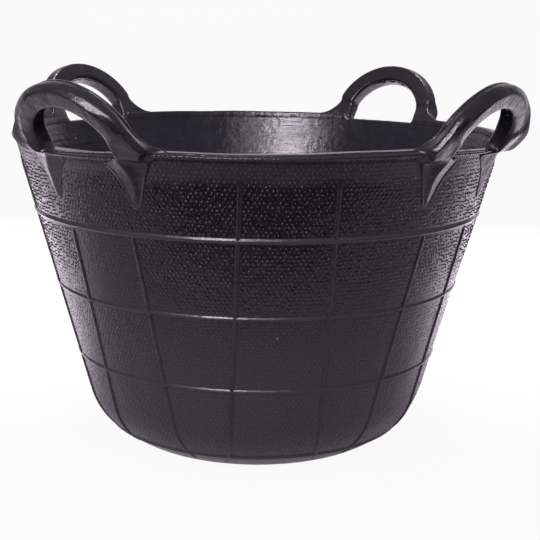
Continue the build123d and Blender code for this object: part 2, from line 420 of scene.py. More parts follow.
# Stipple: its share in the band under the rim, the depths where the band ends, and its losses further down
BAND_STIPPLE = 0.22
BAND_END = (22, 27)
STIPPLE_LOSSES = ((0.65, 95, 130), (0.1, 150, 200))

# Margins over which the stipple comes back beside hoops, ribs and tongues, and below a tongue's tip
HOOP_MARGIN = 2.5
RIB_MARGIN = 2
TONGUE_MARGIN = 3
TIP_MARGIN = 2

# Panel below the front handle with hardly any stipple
PLAIN_HALF = 44
PLAIN_STIPPLE = 0.15


def aside(azimuth, facing):
    """Distance along the rim from the middle of a handle."""
    return RIM_RADIUS * np.angle(np.exp(1j * (azimuth - facing)))


def stipple_share(azimuth, run):
    """How far the stipple stands at places on the wall: it dies out at rim, hoops, ribs and tongues."""
    radius, height, _ = outline(run)
    depth = RIM_LEVEL - height
    share = BAND_STIPPLE + (1 - BAND_STIPPLE) * ramp(depth, *BAND_END)
    share = share * (1 - sum(loss * ramp(depth, start, end) for loss, start, end in STIPPLE_LOSSES))
    for place, width, _ in HOOPS.values():
        share = share * ramp(np.abs(run - place), width / 2, width / 2 + HOOP_MARGIN)
    for facing, offset, top in RIBS.values():
        gap = np.abs(radius * np.sin(azimuth - facing) - offset)
        on_rib = 1 - ramp(gap, RIB_HALF, RIB_HALF + RIB_MARGIN)
        on_rib = on_rib * (np.cos(azimuth - facing) > 0) * (run > top - RIB_MARGIN)
        share = share * (1 - on_rib)
    levels, nears, fars = np.array([(row[0], row[1], row[3]) for row in TONGUE[::-1]]).T
    near, far = np.interp(height, levels, nears), np.interp(height, levels, fars)
    above_tip = ramp(height, TONGUE_TIP - TIP_MARGIN, TONGUE_TIP)
    for stance in HANDLES.values():
        along = np.abs(aside(azimuth, stance.facing))
        on_tongue = between(along, near - TONGUE_MARGIN, near, far, far + TONGUE_MARGIN) * above_tip
        share = share * (1 - on_tongue)
    plain = np.abs(aside(azimuth, HANDLES["front"].facing)) < PLAIN_HALF
    plain = plain & (run > HOOPS["hoop_upper"][0]) & (run < HOOPS["hoop_middle"][0])
    return share * np.where(plain, PLAIN_STIPPLE, 1.0)


# Dots of the stipple: spacing, size, how far they stray, how much they vary, and how many are nearly flat
DOT_PITCH = 4.1
DOT_RADIUS = 0.86
DOT_RISE = 1.0
DOT_STRAY = 0.9
DOT_RISES = (0.7, 1.1)
DOT_RADII = (0.8, 1.05)
FLAT_DOTS = 0.12
FLAT_RISE = 0.1

# Rings of six points round each dot, as shares of its radius and rise, and the gloss and painted highlight of
# its points and its cell
DOT_RINGS = ((0.62, 0.78), (1.0, 0.0))
DOT_GLOSS_AND_HIGHLIGHT = (1.0, 0.7, 0.0, 0.0, 0.0)
SIXTHS = np.radians(np.arange(6) * 60 - 90)

# How far the first and last dots of a ring stand in, in cells, and a cell's corners reach, in rows
ROW_MARGIN = 0.9
CORNER_SHARE = 0.667

# Rows of points on the inside of a ring, and parts of its map for outside and inside
INNER_ROWS = 6
OUTER_MAP = 0.84
INNER_MAP = (0.98, 0.86)


def uneven(azimuth, run):
    """Unevenness of the tub's outside: slow swelling and finer lumps."""
    lumps = swell(azimuth, run, 0.02, turns=120, length=9.0, count=16, seed=5)
    return swell(azimuth, run, 0.1, turns=14, length=120.0) + lumps


def inner_rows(azimuth, top, bottom, count):
    """Smooth inside of a ring of the tub, from its foot up."""
    run = np.linspace(bottom, top, count)[:, None]
    return skin(azimuth, run, swell(azimuth, run, 0.1, turns=12, length=90.0, count=9, seed=8) - THICKNESS)


def dots(levels, count):
    """Jumbled dots of a ring as azimuths, runs and rises: their middles, then the points of each ring."""
    shift = np.arange(len(levels))[:, None] % 2 / 2
    azimuth = (np.arange(count)[None, :] + shift) * (2 * pi / count)
    scale = outline(levels)[0][:, None]
    stray = DOT_STRAY * rng.random(azimuth.shape) ** 0.5
    heading = rng.uniform(0, 2 * pi, azimuth.shape)
    middle = azimuth + stray * np.cos(heading) / scale
    down = levels[:, None] + stray * np.sin(heading)
    tall = DOT_RISE * rng.uniform(*DOT_RISES, azimuth.shape) * stipple_share(middle, down)
    tall = tall * np.where(rng.random(azimuth.shape) < FLAT_DOTS, FLAT_RISE, 1.0)
    wide = DOT_RADIUS * rng.uniform(*DOT_RADII, azimuth.shape)
    middle, down, tall, wide, scale = (values[..., None] for values in (middle, down, tall, wide, scale))
    places = [(middle, down, tall)]
    for share, height in DOT_RINGS:
        around = middle + share * wide * np.cos(SIXTHS) / scale
        below = down + share * wide * np.sin(SIXTHS)
        places.append((around, below, np.broadcast_to(tall * height, around.shape)))
    return places


def cell_corners(levels, count, top, bottom):
    """Corners of a ring's six-sided cells: the crowns of each row and of one more, then the feet likewise."""
    number = np.arange(len(levels) + 1)
    reach = CORNER_SHARE * (levels[1] - levels[0])
    crown_level = np.concatenate([[top], levels[1:] - reach, [bottom]])
    foot_level = np.concatenate([[top], levels[:-1] + reach, [bottom]])
    places = []
    for shift, level in ((number % 2, crown_level), ((number + 1) % 2, foot_level)):
        azimuth = (np.arange(count)[None, :] + shift[:, None] / 2) * (2 * pi / count)
        places.append((azimuth, np.broadcast_to(level[:, None], azimuth.shape), np.zeros(azimuth.shape)))
    return places


def outer_faces(rows, count, starts):
    """Faces of a ring's dots and of the cells round them."""
    row, column = np.meshgrid(np.arange(rows), np.arange(count), indexing="ij")
    right, left = (column + row % 2) % count, (column + row % 2 - 1) % count
    dot = row * count + column
    inner, outer = starts[1] + dot * 6, starts[2] + dot * 6
    crowns, feet = starts[3], starts[4]
    corner = [
        crowns + row * count + column,
        feet + row * count + right,
        crowns + (row + 1) * count + right,
        feet + (row + 1) * count + column,
        crowns + (row + 1) * count + left,
        feet + row * count + left,
    ]
    faces = []
    for one in range(6):
        two = (one + 1) % 6
        faces += np.stack([dot, inner + one, inner + two], -1).reshape(-1, 3).tolist()
        faces += np.stack([inner + one, outer + one, outer + two, inner + two], -1).reshape(-1, 4).tolist()
        faces += np.stack([outer + one, corner[one], corner[two], outer + two], -1).reshape(-1, 4).tolist()
    return faces


def inner_faces(rows, count, starts):
    """Faces of a ring's inside, and of its top and foot that join it to the outside."""
    crowns, feet, first = starts[3:]
    columns = 2 * count
    faces = (np.array(grid_faces(INNER_ROWS, columns, False)[:-2]) + first).tolist()
    number = np.arange(count)
    head = np.stack([crowns + number, feet + number], -1).ravel()
    ends = [crowns + rows * count + number, feet + rows * count + number]
    foot = np.stack(ends[::-1] if rows % 2 else ends, -1).ravel()
    for edge, line in ((foot, first), (head, first + (INNER_ROWS - 1) * columns)):
        back_line = line + np.arange(columns)
        faces += np.stack([edge, np.roll(edge, -1), np.roll(back_line, -1), back_line], -1).tolist()
    return faces


def tub_row(name, top, bottom, node):
    """Ring of the tub between two hoops, outside in six-sided cells with a raised dot in each."""
    count = int(2 * pi * outline((top + bottom) / 2)[0] / DOT_PITCH)
    cell = DOT_PITCH / 3**0.5
    margin = ROW_MARGIN * cell
    rows = round((bottom - top - 2 * margin) / (1.5 * cell)) + 1
    levels = np.linspace(top + margin, bottom - margin, rows)
    places = dots(levels, count) + cell_corners(levels, count, top, bottom)
    starts = np.cumsum([0] + [place[0].size for place in places])
    azimuth, run, rise = (np.concatenate([place[n].ravel() for place in places]) for n in range(3))
    front = skin(azimuth, run, rise + uneven(azimuth, run))
    azimuth_in = np.arange(2 * count) * (pi / count)
    back = inner_rows(azimuth_in[None, :], top, bottom, INNER_ROWS).reshape(-1, 3)
    faces = outer_faces(rows, count, starts)
    outer_count = len(faces)
    faces += inner_faces(rows, count, starts)
    gloss_and_painted_highlight = np.concatenate([np.repeat(DOT_GLOSS_AND_HIGHLIGHT, np.diff(starts)), np.zeros(len(back))])
    slots = np.arange(len(faces)) >= outer_count
    piece = finish_piece(name, np.concatenate([front, back]), faces, [outside, inside], gloss_and_painted_highlight, slots)
    around = np.concatenate([azimuth, np.tile(azimuth_in, INNER_ROWS)]) % (2 * pi) / (2 * pi)
    inner_down = np.repeat(np.linspace(*INNER_MAP, INNER_ROWS), 2 * count)
    lay_map(piece, around, np.concatenate([(run - top) / (bottom - top) * OUTER_MAP, inner_down]))
    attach(piece, "tub")
    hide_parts(node)


# Base: points round and down it, the gap at its very middle, and a painted reflection of the floor, glossier
# too, that sets in below the last hoop
BASE_COLUMNS = 480
BASE_ROWS = 90
BASE_INNER_ROWS = 30
BASE_GAP = 0.05
PAINTED_FLOOR_REFLECTION = 1.4
FLOOR_REFLECTION_FADE = (2.0, 5.0)


def base():
    """Foot of the tub below the last hoop, closed across the floor."""
    top, bottom = HOOPS["hoop_heel"][0], BASE_RUN - BASE_GAP
    azimuth = np.linspace(0, 2 * pi, BASE_COLUMNS, endpoint=False)[None, :]
    run = np.linspace(top, bottom, BASE_ROWS)[:, None]
    lumps = swell(azimuth, run, 0.04, turns=160, length=7.0, count=24, seed=5)
    front = skin(azimuth, run, swell(azimuth, run, 0.05, turns=14, length=120.0) + lumps)
    points = np.concatenate([front, inner_rows(azimuth, top, bottom, BASE_INNER_ROWS)])
    points[..., 2] = np.maximum(points[..., 2], 0)
    rows = len(points)
    slots = np.repeat(np.arange(rows) >= BASE_ROWS, BASE_COLUMNS)
    # Painted reflection of the floor on the band below the last hoop
    floor_reflection = PAINTED_FLOOR_REFLECTION * np.concatenate([ramp(run - top, *FLOOR_REFLECTION_FADE), np.zeros((BASE_INNER_ROWS, 1))])
    piece = grid_piece("base", points, [outside, inside], gloss_and_painted_highlight=floor_reflection, slots=slots)
    around = np.tile(azimuth[0], rows) / (2 * pi)
    lay_map(piece, around, np.repeat(np.arange(rows) / rows, BASE_COLUMNS))
    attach(piece, "tub")
    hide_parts("floor")


hoop_runs = [values[0] for values in HOOPS.values()]
tub_row("wall_upper_row", wall_run(RIM_BASE), hoop_runs[0], "wall")
tub_row("wall_middle_row", hoop_runs[0], hoop_runs[1], "wall")
tub_row("wall_lower_row", hoop_runs[1], hoop_runs[2], "wall")
tub_row("heel_row", hoop_runs[2], hoop_runs[3], "heel")
base()


def hoop(name, place, width, rise):
    """Moulded hoop round the tub, steep-sided with a round crest, a little uneven along it."""
    azimuth = np.linspace(0, 2 * pi, HOOP_COLUMNS, endpoint=False)[None, :]
    across = np.linspace(-1, 1, HOOP_POINTS)[:, None]
    crest = rise * (1 + swell(azimuth, 0 * across, 0.03, turns=160, length=1.0, count=24, seed=17))
    slope = np.sqrt(across**2 + HOOP_CREST**2)
    flank = (slope - HOOP_CREST) / (slope[0] - HOOP_CREST)
    heights = crest * (1 - flank) - HOOP_SUNK * np.abs(across) ** 8
    lean = swell(azimuth, 0 * across, 0.07, turns=90, length=1.0, count=12, seed=23)
    ridge = skin(azimuth, place + across * width / 2 + lean * (1 - across**2), heights)
    root = skin(azimuth, place + np.array([[HOOP_ROOT], [-HOOP_ROOT]]) * width, np.full((2, 1), ROOT))
    gloss_and_painted_highlight = np.concatenate([HOOP_GLOSS_AND_HIGHLIGHT * (1 - across**4), np.zeros((2, 1))])
    piece = grid_piece(name, np.concatenate([ridge, root]), [moulded], gloss_and_painted_highlight=gloss_and_painted_highlight)
    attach(piece, "tub")
    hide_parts(name)


for name, values in HOOPS.items():
    hoop(name, *values)


def rib(name, facing, offset, top):
    """Upright round-topped rib from a hoop or the rim down onto the heel."""
    start = top - RIB_LEAD
    run = np.linspace(start, RIB_FOOT, RIB_ROWS)[:, None]
    across = np.linspace(-1, 1, RIB_POINTS)[None, :]
    ends = between(run, start, top + RIB_GROWN, RIB_FOOT - RIB_FADING, RIB_FOOT - RIB_FADED)
    waves = RIB_WAVES * wander(RIB_ROWS, 3, rng)[:, None]
    sunk = RIB_SUNK_ENDS * (1 - ends) + RIB_SUNK_EDGES * np.abs(across) ** 10
    heights = (RIB_RISE + waves) * ends * (1 - np.abs(across) ** 2.2) - sunk
    sway = RIB_SWAY * wander(RIB_ROWS, 8, rng)[:, None]
    root = np.array([[RIB_ROOT, -RIB_ROOT]]) * RIB_HALF + 0 * run
    places = np.concatenate([across * RIB_HALF + sway, root], 1)
    heights = np.concatenate([heights, np.full(root.shape, ROOT)], 1)
    azimuth = facing + np.arcsin((offset + places) / outline(run)[0])
    piece = grid_piece(name, skin(azimuth, run, heights), [moulded], False)
    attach(piece, "tub")
    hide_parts(name)


for name, values in RIBS.items():
    rib(name, *values)

# Rim section from the bead's foot over the lip to the inside: radius, height and how much it is mottled
RIM_SECTION = [
    (224.8, 290.6, 0.0),
    (227.0, 291.4, 0.0),
    (228.6, 292.4, 0.2),
    (230.2, 293.4, 0.6),
    (231.6, 294.4, 1.0),
    (232.4, 295.5, 1.0),
    (232.4, 296.6, 1.0),
    (231.7, 297.4, 0.9),
    (230.7, 297.8, 0.5),
    (229.8, 297.8, 0.1),
    (229.5, 298.2, 0.05),
    (229.4, 299.0, 0.05),
    (228.8, 299.4, 0.05),
    (227.6, 299.6, 0.05),
    (224.4, 299.85, 0.05),
    (223.0, 299.95, 0.05),
    (222.3, 299.3, 0.05),
    (222.0, 298.2, 0.05),
    (221.7, 296.5, 0.0),
    (221.2, 294.2, 0.0),
    (221.2, 292.9, 0.0),
    (222.6, 290.6, 0.0),
]
RIM_COLUMNS = 1800
# Gloss of the bead where it is mottled, which also paints a faint highlight on it
RIM_GLOSS_AND_HIGHLIGHT = 0.1

# Azimuths between which the bead is thinner, and between which the rim sags
THIN = np.radians([-172, -155, -116, -104])
THINNED = 0.8
SAGGING = np.radians([-140, -112, -54, -28])
SAG = 1.9

# Under each finger hole: level of the rim's top, its climb along the rim, and how far the bead's foot hangs
DIPS = {
    "front": (293.2, 0.05, 5.0),
    "right": (295.4, -0.04, 0.8),
    "back": (294.6, 0.0, 0.0),
    "left": (294.6, 0.0, 0.0),
}
DIP_HALF = 40.0
DIP_FADE = 7
DIP_RAGGED = 0.5


def rim():
    """Beaded rim with its lip: mottled round the bead, sagging in front, let down under each finger hole."""
    azimuth = np.linspace(-pi, pi, RIM_COLUMNS, endpoint=False)[None, :]
    radius, height, mottle = (np.array(values)[:, None] for values in zip(*RIM_SECTION))
    order = np.arange(len(RIM_SECTION))[:, None]
    lumps = swell(azimuth, order, 0.22, turns=420, length=5.0, count=40, seed=31)
    lumps = lumps + swell(azimuth, order, 0.1, turns=60, length=9.0, count=12, seed=37)
    reach = np.maximum(radius - RIM_RADIUS, 0)
    radius = radius - THINNED * reach * between(azimuth, *THIN) + lumps * mottle
    lowest = height.min()
    share = (height - lowest) / (RIM_LEVEL - lowest)
    waves = swell(azimuth, 0 * order, 0.12, turns=24, length=1.0, count=9, seed=41)
    level = height + waves * (mottle > 0) - SAG * between(azimuth, *SAGGING) * share
    frayed = swell(azimuth, 0 * order, 0.6, turns=700, length=1.0, count=30, seed=43)
    ragged = DIP_RAGGED * np.clip(frayed, 0, 1)
    for name, (top, climb, hang) in DIPS.items():
        along = aside(azimuth, HANDLES[name].facing + HANDLES[name].turn)
        foot = lowest - hang
        dipped = foot + share * (top + climb * along + ragged - foot)
        level = dipped + (level - dipped) * ramp(np.abs(along), DIP_HALF, DIP_HALF + DIP_FADE)
    points = np.stack([radius * np.cos(azimuth), radius * np.sin(azimuth), level], -1)
    piece = grid_piece("rim_bead", points, [moulded], gloss_and_painted_highlight=RIM_GLOSS_AND_HIGHLIGHT * mottle)
    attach(piece, "tub")
    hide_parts("rim_bead")


rim()

# Leg's section, by corners: place across the leg from the finger hole, place out of the bucket, and rounding.
# From the hole's inner edge it passes ridge, shoulder, bulge and flank, and it ends with a thin line inside
SECTION = [
    (-9.4, -8.8, 4.2),
    (-9.6, 0.0, 5.0),
    (-9.4, 8.4, 4.8),
    (4.0, 8.9, 2.0),
    (6.0, 7.6, 1.2),
    (8.5, 3.3, 1.4),
    (9.3, -1.7, 2.2),
    (7.7, -5.4, 0.4),
    (8.2, -6.0, 0.5),
    (7.8, -7.4, 0.6),
    (6.5, -8.7, 1.0),
]
LIP, RIDGE, SHOULDER, BULGE, FLANK = 1, 3, 4, 5, 6

# How far three corners lie further out on a full leg, and how much of the leg's swelling each takes
FULLER = {SHOULDER: (2.3, -2.2), BULGE: (2.1, -1.3), FLANK: (0.7, 0.5)}
SHARE = {SHOULDER: (0.55, 0.16), BULGE: (1.0, 1.0), FLANK: (1.0, 1.0)}

# Up the loop, by angle: place of the ridge across and out, its rounding, and the swelling across and out
# of a slim leg and of a full one
LEG = [
    (20.8, 2.0, 8.9, 1.3, 3.0, 2.3, 6.7, 2.5),
    (27.0, 2.6, 8.9, 1.3, 3.0, 1.7, 5.6, 2.1),
    (33.0, 3.2, 8.9, 1.4, 3.0, 1.2, 4.5, 1.7),
    (42.0, 4.2, 8.8, 1.6, 1.0, 0.4, 2.8, 1.1),
    (50.0, 4.8, 8.7, 1.6, 0.1, 0.0, 1.6, 0.6),
    (65.0, 5.4, 8.2, 2.4, 0.0, 0.0, 0.1, 0.0),
    (90.0, 6.0, 7.6, 3.0, 0.0, 0.0, 0.0, 0.0),
]
NECK_ROUND = LEG[0][3]
TONGUE_ROUND = np.array([0.3, 0.5, 0.5, 2.0, 4.0, 0.6, 0.4, 0.3, 0.3, 0.3, 0.3])

# Loop's middle line in its own plane: two arcs at the sides and one over the top
SIDE_CENTRE, SIDE_RADIUS = 7.0, 45.0
TOP_RADIUS, TOP_CENTRE = 54.07, -5.77
LOOP_HEIGHT = TOP_RADIUS + TOP_CENTRE
NECK_END = radians(20.8)
SIDE_END = atan2(-TOP_CENTRE, SIDE_CENTRE)

# Points round each corner of a section, most that its rounding takes of a side, and rows between sections
ARC = 6
MOST_ROUND = 0.46
STEPS = 6

# Gloss and painted highlight of the tongue's two edges, gloss lost on a swollen leg, by sections down from
# the loop's middle
LIP_GLOSS_AND_HIGHLIGHT = 1.0
EDGE_GLOSS_AND_HIGHLIGHT = 0.7
DULL = 4.0
DULL_FOOT = (6.0, 8.5, 12.5, 14.0)

# How much thinner a handle is in places
SOFTNESS = 0.008

# Neck, flaring onto the rim and then sunk into it: distance along the rim, radius and height of each corner
NECKS = [
    [
        (40.6, 229.5, 309.5),
        (39.6, 236.0, 306.0),
        (39.2, 244.3, 302.0),
        (46.3, 247.3, 305.5),
        (65.0, 249.5, 310.0),
        (55.6, 236.0, 313.0),
        (56.0, 235.3, 313.6),
        (55.7, 234.6, 314.1),
        (54.4, 233.6, 314.3),
    ],
    [
        (40.8, 226.8, 303.5),
        (40.0, 233.0, 301.5),
        (39.8, 242.0, 298.8),
        (46.0, 243.3, 301.5),
        (68.0, 247.0, 304.0),
        (59.2, 231.6, 307.6),
        (59.6, 230.9, 308.2),
        (59.2, 230.2, 308.6),
        (57.6, 229.3, 308.7),
    ],
    [
        (40.6, 224.3, 298.0),
        (40.2, 231.0, 297.0),
        (40.2, 239.8, 295.8),
        (46.0, 240.4, 297.8),
        (68.0, 243.0, 297.5),
        (68.5, 228.2, 301.6),
        (68.8, 227.7, 302.0),
        (68.4, 227.1, 302.1),
        (66.5, 226.3, 301.8),
    ],
    [
        (37.0, 225.0, 292.5),
        (38.0, 231.0, 292.0),
        (40.0, 235.6, 291.2),
        (44.5, 236.6, 292.5),
        (63.0, 237.6, 291.0),
        (82.0, 229.0, 297.3),
        (82.5, 228.0, 298.0),
        (82.0, 227.0, 298.0),
        (80.0, 226.0, 297.3),
    ],
]

# Where the bulge lies along the rim on a slim leg's neck
SLIM_BULGES = (57.7, 61.4, 66.0, 63.0)

# Along the rim, out and up: a slim neck's flank from its bulge, how far a full neck's bulge is drawn in where
# the leg isn't swollen, and how a push moves bulge and ridge; then shares of the way to flank and shoulder
SLIM_FLANK = np.array([2.9, -5.0, 1.6])
DRAWN_IN = np.array([6.0, 4.0, 0.0])
BULGE_PUSH = np.array([0.0, 1.0, 0.0])
RIDGE_PUSH = np.array([0.0, 0.9, -0.4])
FLANK_SHARE = 0.4
SHOULDER_SHARE = 0.58


def leaned(along, up, out, lean, sway=0.0):
    """Points of a loop that faces +X, in the loop's own leaning plane."""
    forward = RIM_RADIUS + up * sin(lean) + out * cos(lean)
    level = RIM_LEVEL + up * cos(lean) - out * sin(lean)
    return np.stack([forward, along + sway * up / LOOP_HEIGHT, level], -1)


def on_rim(places):
    """Points of a handle that faces +X, from distance along the rim, radius and height."""
    along, radius, height = np.array(places).T
    return np.stack([radius * np.cos(along / RIM_RADIUS), radius * np.sin(along / RIM_RADIUS), height], -1)


def loop_section(centre, radius, angle, lean, sway, bulge):
    """Rounded section of the loop at an angle about a centre in its plane; both legs are alike at the top."""
    across, out, rounding = np.array(SECTION).T
    degrees_up, *columns = np.array(LEG).T
    ridge, ridge_out, ridge_round, *swell_by = (np.interp(angle * 180 / pi, degrees_up, c) for c in columns)
    across[RIDGE], out[RIDGE], rounding[RIDGE] = ridge, ridge_out, ridge_round
    slim = bulge is None
    full = (0 if slim else 1) + (0.5 if slim else -0.5) * ramp(angle, pi / 3, pi / 2)
    swelling = np.array(swell_by[:2]) if slim else bulge * np.array(swell_by[2:])
    for corner in FULLER:
        across[corner] += full * FULLER[corner][0] + SHARE[corner][0] * swelling[0]
        out[corner] += full * FULLER[corner][1] + SHARE[corner][1] * swelling[1]
    reach = radius + across
    corners = leaned(centre[0] + reach * cos(angle), centre[1] + reach * sin(angle), out, lean, sway)
    return rounded(corners, rounding)


def neck_section(places, bulge, slim, push):
    """Rounded section of the neck, flat-sided on a slim leg and drawn in on a full leg that swells less."""
    *before, ridge, swollen, line, end, last, inner = np.array(places)
    if bulge is None:
        swollen[0] = slim
        flank = swollen + SLIM_FLANK
    else:
        slimmer = swollen - DRAWN_IN
        swollen = slimmer + bulge * (swollen - slimmer) + push * BULGE_PUSH
        ridge = ridge + push * RIDGE_PUSH
        flank = swollen + FLANK_SHARE * (line - swollen)
    shoulder = ridge + SHOULDER_SHARE * (swollen - ridge)
    corners = [*before, ridge, shoulder, swollen, flank, line, end, last, inner]
    rounding = np.array([corner[2] for corner in SECTION])
    rounding[RIDGE] = NECK_ROUND
    return rounded(on_rim(corners), rounding)


def tongue_section(height, near, ridge, far, ridge_rise, far_rise):
    """Section of the tongue: raised lip on the near edge, flank, ridge, hollow panel and raised far edge."""
    lip = [(near, -0.8), (near + 0.6, 1.0), (near + 1.6, 0.05)]
    panel = (ridge + 0.55 * (far - ridge), 0.3 * ridge_rise + 0.3 * far_rise)
    edge = [(far - 0.4, far_rise), (far + 0.1, 0.6 * far_rise), (far + 0.4, 0.1)]
    sunk = [(far + 0.5, -0.8), (far + 0.3, -1.2), (far - 1, -2.0)]
    places = [*lip, (ridge, ridge_rise), panel, *edge, *sunk]
    corners = on_rim([(along, wall_radius(height) + rise, height) for along, rise in places])
    return rounded(corners, TONGUE_ROUND)


def rounded(corners, rounding):
    """Closed section through rounded corners."""
    arcs = []
    for turn in (1, -1):
        side = np.roll(corners, turn, 0) - corners
        length = np.maximum(np.linalg.norm(side, axis=1), 1e-6)
        reach = np.minimum(rounding / length, MOST_ROUND)
        arcs.append((corners + side * reach[:, None])[:, None])
    share = np.linspace(0, 1, ARC)[None, :, None]
    bend = (1 - share) ** 2 * arcs[0] + 2 * share * (1 - share) * corners[:, None] + share**2 * arcs[1]
    return bend.reshape(-1, 3)


def through(stations, steps):
    """Smooth skin through sections, with extra rows between them."""
    stations = np.array(stations)
    change = np.diff(stations, axis=0)
    gaps = np.linalg.norm(change, axis=-1).mean(1)[:, None, None]
    slopes = change / gaps
    inner = (slopes[1:] * gaps[:-1] + slopes[:-1] * gaps[1:]) / (gaps[1:] + gaps[:-1])
    slopes = np.concatenate([slopes[:1], inner, slopes[-1:]])
    share = np.linspace(0, 1, steps, endpoint=False)[None, :, None, None]
    start, end = stations[:-1, None], stations[1:, None]
    leave, arrive = (slopes[:-1] * gaps)[:, None], (slopes[1:] * gaps)[:, None]
    rows = (2 * share**3 - 3 * share**2 + 1) * start + (share**3 - 2 * share**2 + share) * leave
    rows = rows + (3 * share**2 - 2 * share**3) * end + (share**3 - share**2) * arrive
    return np.concatenate([rows.reshape(-1, *stations.shape[1:]), stations[-1:]])


def half_handle(lean, sway, leg):
    """Skin of a handle that faces +X, from the middle of its loop down one leg to the tip of its tongue."""
    sections = []
    for angle in np.linspace(pi / 2, SIDE_END, 6):
        sections.append(loop_section((0, TOP_CENTRE), TOP_RADIUS, angle, lean, sway, leg.bulge))
    for angle in np.linspace(SIDE_END, NECK_END, 5)[1:]:
        sections.append(loop_section((SIDE_CENTRE, 0), SIDE_RADIUS, angle, lean, sway, leg.bulge))
    for places, slim, push in zip(NECKS, SLIM_BULGES, leg.push):
        sections.append(neck_section(places, leg.bulge, slim, push))
    for row in [*TONGUE, TONGUE_END]:
        sections.append(tongue_section(*row))
    return through(sections, STEPS)


def turned(points, facing):
    """Points turned from +X to the way that a handle faces."""
    spin = np.array([[cos(facing), -sin(facing), 0], [sin(facing), cos(facing), 0], [0, 0, 1]])
    return points @ spin.T


def bends(piece):
    """Bakes the placement of a piece of a handle into its mesh."""
    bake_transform(piece)


def leg_gloss_and_highlight(bulge, rows):
    """Gloss and painted highlight of a leg's points: painted highlights on the tongue's edges, and a dull
    foot where the leg is swollen.
    """
    gloss_and_painted_highlight = np.zeros((rows, ARC * len(SECTION)))
    tongue = -(STEPS * len(TONGUE) + 1)
    gloss_and_painted_highlight[tongue:, LIP * ARC:(LIP + 1) * ARC] = LIP_GLOSS_AND_HIGHLIGHT
    gloss_and_painted_highlight[tongue + 2 * STEPS:, BULGE * ARC:(BULGE + 1) * ARC] = EDGE_GLOSS_AND_HIGHLIGHT
    if bulge:
        down = np.arange(rows)[:, None] / STEPS
        gloss_and_painted_highlight[:, SHOULDER * ARC:(FLANK + 1) * ARC] -= DULL * between(down, *DULL_FOOT)
    return gloss_and_painted_highlight


def handle(name, facing, lean, turn, sway, leg, other):
    """One handle in one skin, from tongue to tongue."""
    near = half_handle(lean, sway, leg)
    far = half_handle(lean, -sway, other)[:0:-1] * np.array([1, -1, 1])
    points = np.concatenate([far, near])
    middle = points.mean(1, keepdims=True)
    soft = 1 + SOFTNESS * wander(len(points), 14, rng)[:, None, None]
    points = turned(middle + (points - middle) * np.minimum(soft, 1.0), facing + turn)
    rows = len(near)
    gloss_and_painted_highlight = np.concatenate([leg_gloss_and_highlight(other.bulge, rows)[:0:-1], leg_gloss_and_highlight(leg.bulge, rows)])
    piece = grid_piece(f"{name}_loop", points, [moulded], False, gloss_and_painted_highlight)
    parts = [f"{name}_{part}_{side}" for part in ("neck", "tongue") for side in ("left", "right")]
    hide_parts(f"{name}_grip", *parts)
    bends(piece)


for name, stance in HANDLES.items():
    handle(name, *stance)

# Moulding flash left in each finger hole: how far it hangs in and where it lies across the leg's depth
FLASH = {
    "front": (1.3, -3.0),
    "right": (1.1, 2.0),
    "back": (2.6, -5.0),
    "left": (1.0, -4.0),
}
FLASH_ROWS = 150
FLASH_ENDS = (radians(58), radians(122))
FLASH_ROOT = -8.8
FLASH_EDGE = -9.6
FLASH_DEPTHS = np.array([-0.5, 0.5, 0.12, -0.12])


def flash(name, reach, place):
    """Ragged film along the upper edge of a finger hole."""
    stance = HANDLES[name]
    ragged = 0.35 + 0.5 * wander(FLASH_ROWS, 9, rng) + 0.35 * wander(FLASH_ROWS, 2, rng)
    hangs = reach * np.clip(ragged, 0.02, 1) * np.sin(np.linspace(0, pi, FLASH_ROWS)) ** 0.4
    rows = []
    for angle, hang in zip(np.linspace(*FLASH_ENDS, FLASH_ROWS), hangs):
        radius = TOP_RADIUS + np.array([FLASH_ROOT, FLASH_ROOT, FLASH_EDGE - hang, FLASH_EDGE - hang])
        along, up = radius * cos(angle), TOP_CENTRE + radius * sin(angle)
        rows.append(leaned(along, up, place + FLASH_DEPTHS, stance.lean, stance.sway))
    points = turned(np.array(rows), stance.facing + stance.turn)
    piece = grid_piece(f"{name}_flash", points, [moulded], False)
    bends(piece)


for name, values in FLASH.items():
    flash(name, *values)

# Camera, and the turn of camera, paper and lamps to the side that the bucket is seen from, all in metres
to_view = Matrix.Rotation(radians(38.4), 4, "Z")
CAMERA_BACK, CAMERA_UP = 1.0779, 0.3893
PITCH, YAW, ROLL = radians(-11.969), radians(0.698), radians(0.912)
LENS = 74.95
SENSOR = 36.0


def make_camera():
    """Camera in front of the bucket, looking slightly down on it."""
    camera = bpy.data.objects.new("camera", bpy.data.cameras.new("camera"))
    camera.data.lens = LENS
    camera.data.sensor_width = SENSOR
    forward = Vector((sin(YAW) * cos(PITCH), cos(YAW) * cos(PITCH), sin(PITCH)))
    right = forward.cross(Vector((0, 0, 1))).normalized()
    up = right.cross(forward)
    side = right * cos(ROLL) + up * sin(ROLL)
    top = up * cos(ROLL) - right * sin(ROLL)
    basis = Matrix((side, top, -forward)).transposed().to_4x4()
    camera.matrix_world = to_view @ Matrix.Translation((0, -CAMERA_BACK, CAMERA_UP)) @ basis
    bpy.context.scene.collection.objects.link(camera)
    bpy.context.scene.camera = camera


make_camera()

# White paper: its true colour, the tint and share of plain white that it shows, and how much of that white
# the rubber mirrors from the floor and from the backdrop
PAPER_GREY = (0.55, 0.53, 0.55, 1)
PAPER_ROUGH = 0.9
PAPER_GLOSS = 0.1
WHITE = (1, 1, 1, 1)
MIRRORED_WHITE = (1, 0.91, 1, 1)
WHITE_SHARE = 0.94
FLOOR_MIRRORED = 0.2
BACKDROP_MIRRORED = 1.0

